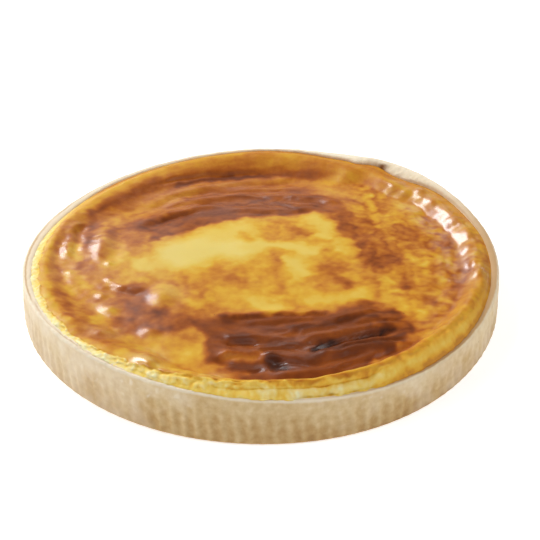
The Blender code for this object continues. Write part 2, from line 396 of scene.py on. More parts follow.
points = np.stack([radius * np.cos(angle), radius * np.sin(angle), height], -1).reshape(-1, 3)
faces = strip_faces(len(rows), CASE_COLUMNS).tolist()
faces.append(list(range(CASE_COLUMNS))[::-1])
faces.append(list(range((len(rows) - 1) * CASE_COLUMNS, len(rows) * CASE_COLUMNS)))

case_mesh = bpy.data.meshes.new("baked_case")
case_mesh.from_pydata(points.tolist(), [], faces)
case_mesh.shade_smooth()
baked_case = bpy.data.objects.new("baked_case", case_mesh)
bpy.context.scene.collection.objects.link(baked_case)
print("case:", len(points), "points")

# %% [markdown]
# ## Values for the painter
#
# The material has to know where the flour lies, where the lip browned and where the shelf is burnt. It
# also carries painted shade and light: the front of the wall darker, the slumped shelf paler over the
# shade of its slope, and the inside of the lip darker against the custard. A painter's mask in a picture
# would do, but a number stored on each point is sharper here, needs no picture, and comes from the same
# shares and depths that shaped the case.

# %% Flour, browned lip and burnt notch, with painted shade and light
# Round the tart the first table pales the left of the wall and darkens its front: partly the pastry's own
# colour, partly painted shade that follows the light.
FLOUR_AND_SIDE_SHADE = (0.6, 0.8, 0.8, 0.5, 0.9, 0.55, -0.3, 0.25)
LIP_FLOURY = (0.0, 0.2, 0.3, 0.0, 0.3, 0.6, 1.2, -0.3)
# The inside of the lip is darker where it meets the custard: browning, with painted shade in the join.
LIP_BROWNED_AND_SHADED = (1.0, 0.0, 0.0, 0.1, 0.3, 0.1, 0.1, 1.1)
NOTCH_ANGLE, NOTCH_WIDTH = 52.6, 1.8  # degrees


def set_values(mesh, name, values):
    """Stores one number for each point of a mesh, for the material to read."""
    attribute = mesh.attributes.new(name, "FLOAT", "POINT")
    attribute.data.foreach_set("value", np.asarray(values, np.float32).ravel())


patches = noise(arc, height / MM, 13.0, 35) + 0.6 * noise(arc, height / MM, 5.0, 36)
marks = ease((noise(arc, height / MM, 3.5, 37) - 0.35) / 0.3) * ease((share - 0.45) / 0.2)
marks = marks * (swell(angle, 243, 14) + 0.6 * swell(angle, 295, 9))
marks = marks * (1.0 - ease((share - 0.9) / 0.05))
flour_and_painted_light = around(angle, FLOUR_AND_SIDE_SHADE) + 0.3 * patches + 0.2 * ease((share - 0.6) / 0.3) + 0.7 * marks
flour_and_painted_light = flour_and_painted_light + ease((share - 0.95) / 0.04) * around(angle, LIP_FLOURY)
# The slumped shelf is painted paler: its pale crumbs, with painted light over the shade of its slope.
flour_and_painted_light = flour_and_painted_light + shelf * (0.2 + 0.7 * gritty)
# The inside of the lip next to the custard, browned and painted darker as shade. The seam is a dark
# joint.
lip_inside = ease((share - 0.93) / 0.04) * ease((depth - 0.5) / 0.8)
dark_lip = lip_inside * around(angle, LIP_BROWNED_AND_SHADED) + seam
notch = swell(angle, NOTCH_ANGLE, NOTCH_WIDTH) * ease((depth - 2.6) / 1.8)

set_values(case_mesh, "rib", wave * strength)
set_values(case_mesh, "height_share", share)
set_values(case_mesh, "flour_and_painted_light", np.clip(flour_and_painted_light, 0.0, 1.0))
set_values(case_mesh, "dark_lip", np.clip(dark_lip, 0.0, 1.0))
set_values(case_mesh, "burnt", notch * ease((share - 0.5) / 0.1))
print("flour: mean", round(float(np.clip(flour_and_painted_light, 0.0, 1.0).mean()), 2))

# %% [markdown]
# ## Node helpers
#
# A material is a small network: textures on the left, the shader on the right. These helpers place a
# node, set its values and join its sockets in one line each, which keeps the recipes below readable.


# %% Node helpers
def place(tree, kind, settings=(), **sockets):
    """Adds a node. A socket takes a number, a colour or another node's output."""
    made = tree.nodes.new(kind)
    for name, value in dict(settings).items():
        setattr(made, name, value)
    for name, value in sockets.items():
        feed(tree, made, name.replace("_", " "), value)
    return made


def feed(tree, made, name, value):
    socket = made.inputs[int(name)] if name.isdigit() else made.inputs[name]
    if isinstance(value, bpy.types.NodeSocket):
        tree.links.new(value, socket)
    else:
        socket.default_value = value


def reading(tree, name):
    """The values that were stored on the mesh under this name."""
    return place(tree, "ShaderNodeAttribute", {"attribute_name": name}).outputs["Fac"]


def maths(tree, operation, first, second=0.0, third=0.0):
    made = place(tree, "ShaderNodeMath", {"operation": operation})
    for index, value in enumerate((first, second, third)):
        feed(tree, made, str(index), value)
    return made.outputs[0]


def blend(tree, share, first, second, mode="MIX"):
    """Blends two colours by a share."""
    made = place(tree, "ShaderNodeMix", {"data_type": "RGBA", "blend_type": mode})
    feed(tree, made, "0", share)
    feed(tree, made, "6", first)
    feed(tree, made, "7", second)
    return made.outputs[2]


def ramp(tree, share, stops):
    """A colour ramp with (position, colour) stops."""
    made = place(tree, "ShaderNodeValToRGB")
    feed(tree, made, "Fac", share)
    elements = made.color_ramp.elements
    elements[0].position, elements[0].color = stops[0]
    elements[1].position, elements[1].color = stops[-1]
    for position, colour in stops[1:-1]:
        elements.new(position).color = colour
    return made.outputs["Color"]


def stretch(tree, value, low, high):
    """Turns a value from low to high into a share from 0 to 1."""
    made = place(tree, "ShaderNodeMapRange", {"interpolation_type": "SMOOTHSTEP"})
    feed(tree, made, "Value", value)
    feed(tree, made, "From Min", low)
    feed(tree, made, "From Max", high)
    return made.outputs["Result"]


def shift(tree, value, cloud, strength):
    """Raises or lowers a value by a cloud that lies round 0.5."""
    return maths(tree, "MULTIPLY_ADD", maths(tree, "SUBTRACT", cloud, 0.5), strength, value)


def new_material(name):
    material = bpy.data.materials.new(name)
    material.use_nodes = True
    return material, material.node_tree, material.node_tree.nodes["Principled BSDF"]


# %% [markdown]
# ## Two effects that both pieces share
#
# Pastry and custard both have cloudy colour, a little paler here and darker there, and both carry a
# few tiny dark specks. Each effect is a node group, built once and set differently in each material.
# The clouds mix a coarse and a fine noise. The specks are the hearts of a few Voronoi cells: a cell's
# random colour decides whether it has a speck at all.

# %% Clouds group
clouds = bpy.data.node_groups.new("clouds", "ShaderNodeTree")
for name, value in (("Coarse Size mm", 12.0), ("Fine Size mm", 2.0), ("Fine Share", 0.4)):
    socket = clouds.interface.new_socket(name, in_out="INPUT", socket_type="NodeSocketFloat")
    socket.default_value = value
clouds.interface.new_socket("Clouds", in_out="OUTPUT", socket_type="NodeSocketFloat")

given = clouds.nodes.new("NodeGroupInput").outputs
spot = place(clouds, "ShaderNodeTexCoord").outputs["Object"]
coarse_scale = maths(clouds, "DIVIDE", 1000.0, given["Coarse Size mm"])
fine_scale = maths(clouds, "DIVIDE", 1000.0, given["Fine Size mm"])
coarse = place(clouds, "ShaderNodeTexNoise", Vector=spot, Scale=coarse_scale, Detail=2.0)
fine = place(clouds, "ShaderNodeTexNoise", Vector=spot, Scale=fine_scale, Detail=3.0)
mixed = place(clouds, "ShaderNodeMix")
feed(clouds, mixed, "0", given["Fine Share"])
feed(clouds, mixed, "2", coarse.outputs["Fac"])
feed(clouds, mixed, "3", fine.outputs["Fac"])
taken = clouds.nodes.new("NodeGroupOutput")
clouds.links.new(mixed.outputs[0], taken.inputs["Clouds"])

# %% Specks group
specks = bpy.data.node_groups.new("specks", "ShaderNodeTree")
for name, value in (("Spacing mm", 12.0), ("Radius mm", 0.4), ("Rarity", 0.6)):
    socket = specks.interface.new_socket(name, in_out="INPUT", socket_type="NodeSocketFloat")
    socket.default_value = value
specks.interface.new_socket("Specks", in_out="OUTPUT", socket_type="NodeSocketFloat")

given = specks.nodes.new("NodeGroupInput").outputs
spot = place(specks, "ShaderNodeTexCoord").outputs["Object"]
cell_scale = maths(specks, "DIVIDE", 1000.0, given["Spacing mm"])
cells = place(specks, "ShaderNodeTexVoronoi", Vector=spot, Scale=cell_scale)
away = maths(specks, "MULTIPLY", cells.outputs["Distance"], given["Spacing mm"])
inside = maths(specks, "LESS_THAN", away, given["Radius mm"])
chance = place(specks, "ShaderNodeSeparateColor", Color=cells.outputs["Color"]).outputs["Red"]
chosen = maths(specks, "GREATER_THAN", chance, given["Rarity"])
taken = specks.nodes.new("NodeGroupOutput")
specks.links.new(maths(specks, "MULTIPLY", inside, chosen), taken.inputs["Specks"])

# %% Placing a group
def use_group(tree, group, **sockets):
    """Places a group in a material. Underscores stand for the spaces in its socket names."""
    made = place(tree, "ShaderNodeGroup", {"node_tree": group})
    for name, value in sockets.items():
        feed(tree, made, name.replace("_", " "), value)
    return made.outputs[0]


print("groups:", [(group.name, len(group.nodes)) for group in (clouds, specks)])

# %% [markdown]
# ## Baked pastry
#
# Shortcrust that was baked in a ring stays pale and dry, with a dusting of flour near the top and
# warmer colour at the foot. One number sets its colour, and a ramp turns that into a colour. The
# valleys between the ribs are painted darker in it, as shade. The flour, with painted shade and light
# mixed in, the browned inside of the lip with its painted shade, and the burnt notch are laid over it.
# There is no gloss at all, so the roughness is high, and the bump is fine and sandy.

# %% Pastry material
pastry, tree, shader = new_material("baked_pastry")
cloud = use_group(tree, clouds, Coarse_Size_mm=30.0, Fine_Size_mm=3.0, Fine_Share=0.5)
share_up = reading(tree, "height_share")
rib = reading(tree, "rib")

# Painted shade: the valleys between the ribs are darker. The wall is also warmer towards the foot and
# paler on the lip.
bake_and_rib_shade = maths(tree, "MULTIPLY_ADD", rib, -0.16, 0.40)
bake_and_rib_shade = shift(tree, bake_and_rib_shade, cloud, 1.1)
bake_and_rib_shade = maths(tree, "MULTIPLY_ADD", stretch(tree, share_up, 0.9, 0.0), 0.25, bake_and_rib_shade)
bake_and_rib_shade = maths(tree, "MULTIPLY_ADD", stretch(tree, share_up, 0.93, 1.0), -0.35, bake_and_rib_shade)
PASTRY_COLOURS = (
    (0.0, srgb(236, 218, 184)),
    (0.35, srgb(217, 190, 143)),
    (0.65, srgb(195, 159, 106)),
    (1.0, srgb(166, 122, 70)),
)
colour = ramp(tree, bake_and_rib_shade, PASTRY_COLOURS)
speck = use_group(tree, specks, Spacing_mm=14.0, Radius_mm=0.45, Rarity=0.7)
LAYERS = (
    # Flour, with painted shade at the front of the wall and painted light on the shelf.
    (reading(tree, "flour_and_painted_light"), 0.65, srgb(240, 226, 204)),
    # The inside of the lip, browned with painted shade, and the seam.
    (reading(tree, "dark_lip"), 0.85, srgb(184, 140, 88)),
    (reading(tree, "burnt"), 1.0, srgb(122, 76, 34)),
    (speck, 0.6, srgb(120, 90, 55)),
)
for mask, cover, layer_colour in LAYERS:
    colour = blend(tree, maths(tree, "MULTIPLY", mask, cover), colour, layer_colour)
feed(tree, shader, "Base Color", colour)
feed(tree, shader, "Roughness", 0.85)
feed(tree, shader, "Specular IOR Level", 0.25)
feed(tree, shader, "Subsurface Weight", 0.08)
feed(tree, shader, "Subsurface Radius", (0.9, 0.6, 0.35))
feed(tree, shader, "Subsurface Scale", 0.002)

sand = place(tree, "ShaderNodeTexNoise", Scale=900.0, Detail=3.0)
feed(tree, sand, "Vector", place(tree, "ShaderNodeTexCoord").outputs["Object"])
bump = place(tree, "ShaderNodeBump", Height=sand.outputs["Fac"], Strength=0.35, Distance=0.0003)
feed(tree, shader, "Normal", bump.outputs["Normal"])

case_mesh.materials.append(pastry)
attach(baked_case, "root")
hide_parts("pastry_case")
print("pastry:", len(tree.nodes), "nodes")

# %% [markdown]
# ## The custard's height
#
# From its edge just inside the lip the custard climbs to the crest of the border, slopes down to the
# border's foot, and rolls out into the sunken skin. Eight values round the tart set each of these, so
# a height for every place follows from two plain functions. Sculpting could give the same form, but
# not the same form again on the next run.

# %% Border sizes
CUSTARD_BELOW_RIM = [v * MM for v in (0.8, 4.6, 1.0, 0.9, 0.8, 0.5, 0.5, 0.6)]
LOWER_MM = ((47, 10, 2.0), (20, 8, 0.6))  # centre and width in degrees, then millimetres
BORDER_CREST = [v * MM for v in (26.3, 25.6, 26.0, 23.6, 26.4, 29.6, 31.3, 28.5)]
BORDER_CREST_INSET = [v * MM for v in (5.0, 7.5, 7.0, 8.0, 6.5, 5.0, 4.2, 7.0)]
BORDER_FOOT_INSET = [v * MM for v in (16, 21, 30, 34, 13, 28, 14, 16)]
BORDER_FOOT = [v * MM for v in (21.0, 20.6, 17.5, 18.5, 24.2, 23.4, 21.0, 21.0)]
MIDDLE_HEIGHT = 22.0 * MM
SOFT_RISE = (0.4, 1.0, 1.0, 1.0, 0.6, 0.0, 0.0, 0.0)  # 0 rises steeply from the edge, 1 gently


def custard_edge(angle):
    """The radius and height of the custard's edge, just below the rim."""
    drop = around(angle, CUSTARD_BELOW_RIM) + bumps(angle, LOWER_MM)
    height = rim_height(angle) - drop
    return inner_radius(angle, height) - GAP, height


def border_crest(angle):
    """The height of the border's crest and how far in from the edge it lies, both a little wavy."""
    x, y = 133.0 * np.cos(angle), 133.0 * np.sin(angle)
    front = 0.3 + 0.7 * ease((-y + 20.0) / 60.0)
    wave = 0.7 * noise(x, y, 17.0, 71) + 0.35 * noise(x, y, 6.0, 72)
    sway = 0.7 * noise(x, y, 15.0, 73) + 0.3 * noise(x, y, 5.0, 74)
    height = around(angle, BORDER_CREST) + wave * front * MM
    return height, around(angle, BORDER_CREST_INSET) + sway * front * MM


def plain_height(x, y):
    """The custard inside its crest, before folds and lumps."""
    angle, radius = np.arctan2(y, x), np.hypot(x, y)
    edge = custard_edge(angle)[0]
    crest, crest_inset = border_crest(angle)
    foot, foot_inset = around(angle, BORDER_FOOT), around(angle, BORDER_FOOT_INSET)
    inset = edge - radius
    slope = crest + (foot - crest) * ease((inset - crest_inset) / (foot_inset - crest_inset))
    middle = foot + (MIDDLE_HEIGHT - foot) * ease(1.0 - radius / (edge - foot_inset))
    return np.where(inset < foot_inset, slope, middle)


crests = border_crest(whole_turn)[0] / MM
print("border: from", crests.min().round(1), "to", crests.max().round(1), "mm high")

# %% [markdown]
# ## Folds, creases and blisters
#
# The skin slid as it sank, so it lies in folds. Each is a short bowed line with a ridge on the line
# and a trough beside it. Long folds lie behind the middle, and the deepest are at the front in the
# dark skin. Creases are finer folds whose ridge is drawn out on one side by a tail, so that only the
# side of the trough is sharp and mirrors light in a thin line. Blisters are round swellings, which
# carry the white dots of the window, and one of them is a hollow.

# %% Places of the folds
# Start, end, sideways bow, half-width, ridge and trough, all in millimetres.
FOLDS_MM = (
    # the long wavy folds behind the middle
    ((-84, 56), (34, 100), 14, 4.5, 1.2, 0.8),
    ((-50, 82), (34, 86), 4, 4.0, 0.9, 0.7),
    ((-66, 62), (0, 77), 4, 4.2, 1.2, 1.0),
    ((-4, 79), (50, 62), 3, 4.2, 1.3, 1.0),
    ((-76, 30), (-24, 64), 9, 4.2, 1.3, 0.8),
    ((-24, 60), (40, 60), -3, 4.2, 0.8, 0.6),
    # the step where the dark front skin begins
    ((-26, -62), (40, -57), 1, 3.6, 0.9, 0.3),
    # the deep folds at the front
    ((6, -75), (70, -57), 2, 4.0, 0.9, 0.6),
    ((16, -84), (74, -65), 3, 4.4, 1.6, 1.7),
    ((-22, -78), (14, -80), 1, 3.6, 0.9, 1.0),
    ((-24, -92), (10, -94), -2, 3.6, 1.2, 1.4),
    ((20, -99), (72, -83), 3, 4.2, 1.2, 0.9),
    ((2, -108), (44, -100), -4, 3.6, 1.4, 0.9),
    # the skin's far edge at the left front
    ((-84, -30), (-60, -36), -3, 4.0, 0.8, 0.8),
    # ridges that follow the border at the left and the right
    ((-111, -6), (-108, 36), 2, 2.6, 1.3, 0.9),
    ((-91, -14), (-88, 34), 2, 5.0, 0.4, 0.6),
    ((114, -40), (104, 62), -9, 4.0, 0.5, 0.4),
    ((92, 66), (74, 90), -2, 4.0, 1.0, 0.7),
)
CREASES_MM = (
    # sharper creases, too fine for the solids
    ((-70, 88), (8, 106), 8, 1.6, 0.5, 1.1),
    ((-44, 72), (-2, 70), -3, 1.6, 0.3, 0.6),
    ((2, 72), (24, 58), 1, 1.6, 0.3, 0.6),
    ((-64, 40), (-38, 58), 3, 1.8, 0.5, 0.6),
    ((-22, -62), (36, -57), 1, 1.4, 0.4, 0.7),
    ((-12, -67), (34, -62), 1, 1.8, 0.6, 0.6),
    ((36, -67), (62, -53), 1, 2.0, 0.8, 0.6),
    ((18, -76), (42, -69), 1, 2.0, 0.7, 0.7),
    ((46, -66), (72, -62), 1, 1.6, 0.6, 0.6),
    ((22, -92), (70, -71), 5, 1.3, 0.9, 1.6),
    ((34, -89), (76, -77), 3, 1.4, 0.7, 0.9),
    ((-20, -83), (1, -82), 2, 1.8, 0.8, 0.9),
    ((-3, -91), (22, -86), 2, 1.8, 0.9, 1.0),
    ((-22, -94), (3, -94), 2, 1.9, 0.9, 1.1),
    ((-1, -96), (26, -100), 2, 1.9, 1.0, 1.3),
    ((3, -107), (9, -95), 3, 1.8, 0.9, 1.0),
    ((-16, -102), (2, -103), -1, 1.6, 0.6, 0.8),
    ((28, -96), (52, -90), 1, 1.8, 0.7, 0.8),
    ((34, -102), (62, -89), -1, 1.8, 0.8, 0.9),
    ((54, -95), (76, -82), 1, 1.7, 0.6, 0.7),
)
print("folds:", len(FOLDS_MM), "creases:", len(CREASES_MM))


# %% One fold
def fold(x, y, start, end, bow, half_width, ridge, trough, tail=1.0):
    """A ridge and, on its right, a trough, along a bowed line that dies out at its ends."""
    (x0, y0), (x1, y1) = start, end
    length = math.hypot(x1 - x0, y1 - y0)
    along = ((x - x0) * (x1 - x0) + (y - y0) * (y1 - y0)) / length**2
    across = ((y - y0) * (x1 - x0) - (x - x0) * (y1 - y0)) / length
    off = (across - 4.0 * bow * along * (1.0 - along)) / half_width
    ends = ease(along / 0.2) * ease((1.0 - along) / 0.2)
    behind = np.where(off > 0.0, off / tail, off)
    return ends * (ridge * np.exp(-(behind**2)) - trough * np.exp(-((off + 1.5) ** 2)))


# %% Places of the blisters
# Blisters: centre, reach across and along the view, and height, all in millimetres.
BLISTERS_MM = (
    # down the left
    (-109, -3, 5, 7, 0.9),
    (-105.5, -22, 3, 3, 0.55),
    (-91, 11, 9, 26, 1.6),
    (-85, -12, 4, 4, 0.75),
    (-83, -29, 4, 4, 0.75),
    (-75.5, -37, 3, 3, 0.55),
    (-85, -44.5, 5, 5, 0.9),
    (-79.5, -57, 8, 8, 1.5),
    (-53, -43, 11, 15, 2.0),
    (-56.5, -76, 8, 8, 1.5),
    (-72.5, -76, 3.5, 3.5, 0.65),
    (-79.5, -82, 8, 8, 1.6),
    (-54, -106, 8, 16, 1.9),
    # along the front
    (-22, -116, 6, 8, 1.2),
    (-3, -118, 2.6, 4, 0.6),
    (24, -87, 4, 4, 0.8),
    (10, -103, 9, 5, -1.2),
    # down the right
    (82, 76, 4, 5, 0.8),
    (91, 71, 4, 5, 0.8),
    (101, 72, 5, 6, 0.9),
    (104, 57, 5, 7, 0.9),
    (113, 34, 5, 8, 0.8),
    (117, 4, 5, 8, 1.1),
    (118, -12, 5, 8, 1.3),
    (119, -26, 5, 8, 1.3),
)
print("blisters:", len(BLISTERS_MM))

# %% [markdown]
# ## The relief of the skin
#
# `relief` adds up the folds, the creases, the blisters and several kinds of noise. The places are
# bent by noise first, so no fold runs straight. Where the skin slid, the ripples are stretched along
# X and get narrow ridges. At the left it blistered in round bumps, and on the right border it gathered
# in short pleats that run across the border.


# %% Relief
def near(x, y, centre_x, centre_y, reach_x, reach_y):
    """1 at the centre of an oval, easing to 0 at its reach."""
    return ease(1.5 * (1.0 - np.hypot((x - centre_x) / reach_x, (y - centre_y) / reach_y)))


CREASE_TAIL = 2.4


def relief(x, y):
    """Folds, ripples and lumps, in millimetres, at a place in millimetres."""
    bent_x = x + 2.5 * noise(x, y, 19.0, 41)
    bent_y = y + 1.8 * noise(x, y, 14.0, 42)
    total = sum(fold(bent_x, bent_y, *row) for row in FOLDS_MM)
    total = total + sum(fold(bent_x, bent_y, *row, tail=CREASE_TAIL) for row in CREASES_MM)
    for centre_x, centre_y, reach_x, reach_y, height in BLISTERS_MM:
        off = np.hypot((x - centre_x) / reach_x, (y - centre_y) / reach_y)
        total = total + height * ease(1.0 - off)

    slid_back = near(x, y, -15, 74, 95, 38)
    slid_front = near(x, y, 22, -82, 72, 32)
    swept = bent_y - 0.28 * np.maximum(bent_x, 0.0)
    ripples = noise(bent_x, bent_y * 3.4, 22.0, 43) + 0.5 * noise(bent_x, bent_y * 3.0, 9.0, 44)
    fine = noise(bent_x, swept * 3.0, 9.0, 49) + 0.5 * noise(bent_x, swept * 2.2, 4.5, 50)
    total = total + ripples * (0.3 * slid_back + 0.2 * slid_front) + 0.16 * fine * slid_front
    ridges = 0.35 - np.abs(noise(bent_x, swept * 2.4, 10.0, 61))
    ridges = ridges - 0.4 * np.abs(noise(bent_x, swept * 2.2, 5.0, 62))
    total = total + ridges * (0.3 * slid_front + 0.2 * slid_back)

    radius = np.hypot(x, y)
    border = ease((radius - 84.0) / 22.0)
    left = ease((-x - 50.0) / 30.0)
    right = ease((x - 80.0) / 20.0)
    blisters = np.sqrt(noise(x, y, 9.0, 45) ** 2 + 0.08) - 0.45
    total = total + blisters * (0.3 * left + 0.2 * border * (1.0 - 0.7 * right))
    wrinkles = noise(bent_x, bent_y, 4.6, 46) + 0.5 * noise(x, y, 2.6, 47)
    total = total + wrinkles * (0.04 + 0.06 * right * border + 0.03 * border + 0.05 * left)
    broad = noise(bent_x, bent_y, 8.0, 63)
    gathers = noise(np.arctan2(y, x) * 120.0, radius * 3.0, 11.0, 64)
    total = total + (0.55 * broad + 0.3 * gathers) * right * border
    return total + 0.3 * noise(x, y, 16.0, 48)


# %% [markdown]
# ## Where the skin browned, and where shade is painted
#
# The pattern of browning is what makes this tart itself: a pale yellow heart, a chestnut band behind
# it, near-black folds in front, and golden mottling to the right. A painter would lay down broad
# patches first and smaller ones over them, and the list below does the same. A few of the darkest
# strokes lie along the grooves, the creases and the hollow of the folds, and are painted shade there.
# Each stroke has a level from 0, pale yellow, to 1, nearly black, a half-width, a softness and a short
# route, in millimetres.

# %% Strokes of browning
def arc(radius, start, end):
    """A route that follows the border from one angle to another, in degrees."""
    turns = np.radians(np.linspace(start, end, 2 + abs(end - start) // 12))
    return tuple((radius * math.cos(turn), radius * math.sin(turn)) for turn in turns)


